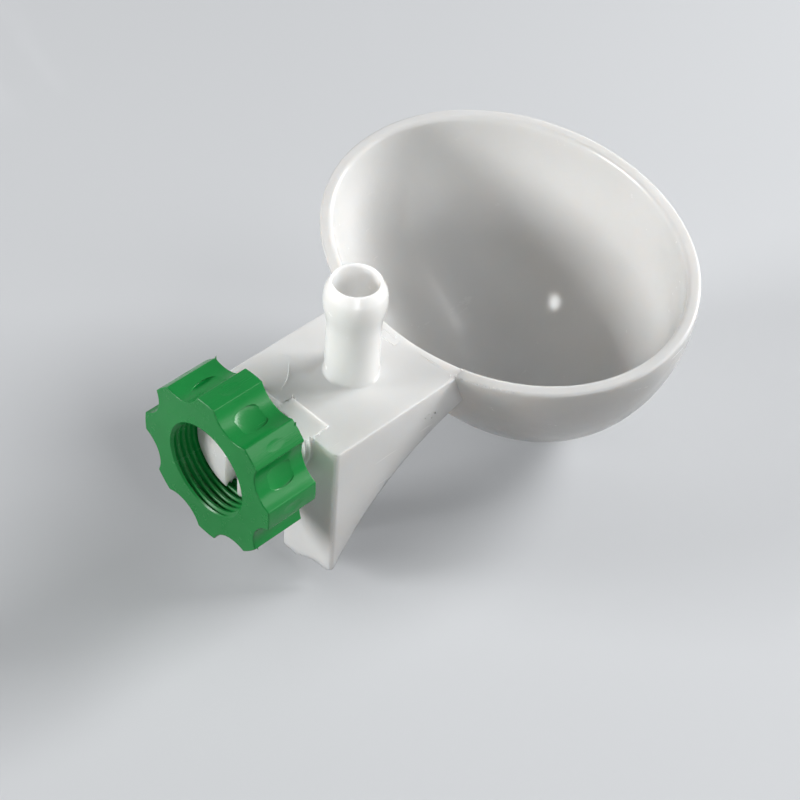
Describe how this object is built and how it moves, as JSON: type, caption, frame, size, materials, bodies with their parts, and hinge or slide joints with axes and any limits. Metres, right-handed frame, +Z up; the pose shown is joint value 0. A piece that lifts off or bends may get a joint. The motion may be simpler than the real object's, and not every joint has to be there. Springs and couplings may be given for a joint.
{
  "type": "poultry drinking cup",
  "caption": "White moulded drinking cup with an oval bowl, an upright hose barb and a slotted stud with a green clamp nut, for fixing to cage wire.",
  "frame": {"origin": "on the stud's axis, in the rear face of the back plate", "axes": "+Z up along the hose barb, +Y back along the stud and out of the nut, -Y towards the bowl, X across"},
  "size_m": [0.0682, 0.0883, 0.0496],
  "materials": {
    "white_plastic": "natural white polypropylene, slightly translucent, smooth semi-gloss",
    "green_plastic": "green polypropylene, smooth semi-gloss"
  },
  "bodies": {
    "cup_body": {"cup": "white_plastic"},
    "clamp_nut": {"nut": "green_plastic"}
  },
  "joints": [
    {"name": "nut_turn", "type": "hinge", "parent": "cup_body", "child": "clamp_nut", "pos_m": [0, 0.01, 0], "axis": [0, 1, 0], "continuous": true}
  ]
}
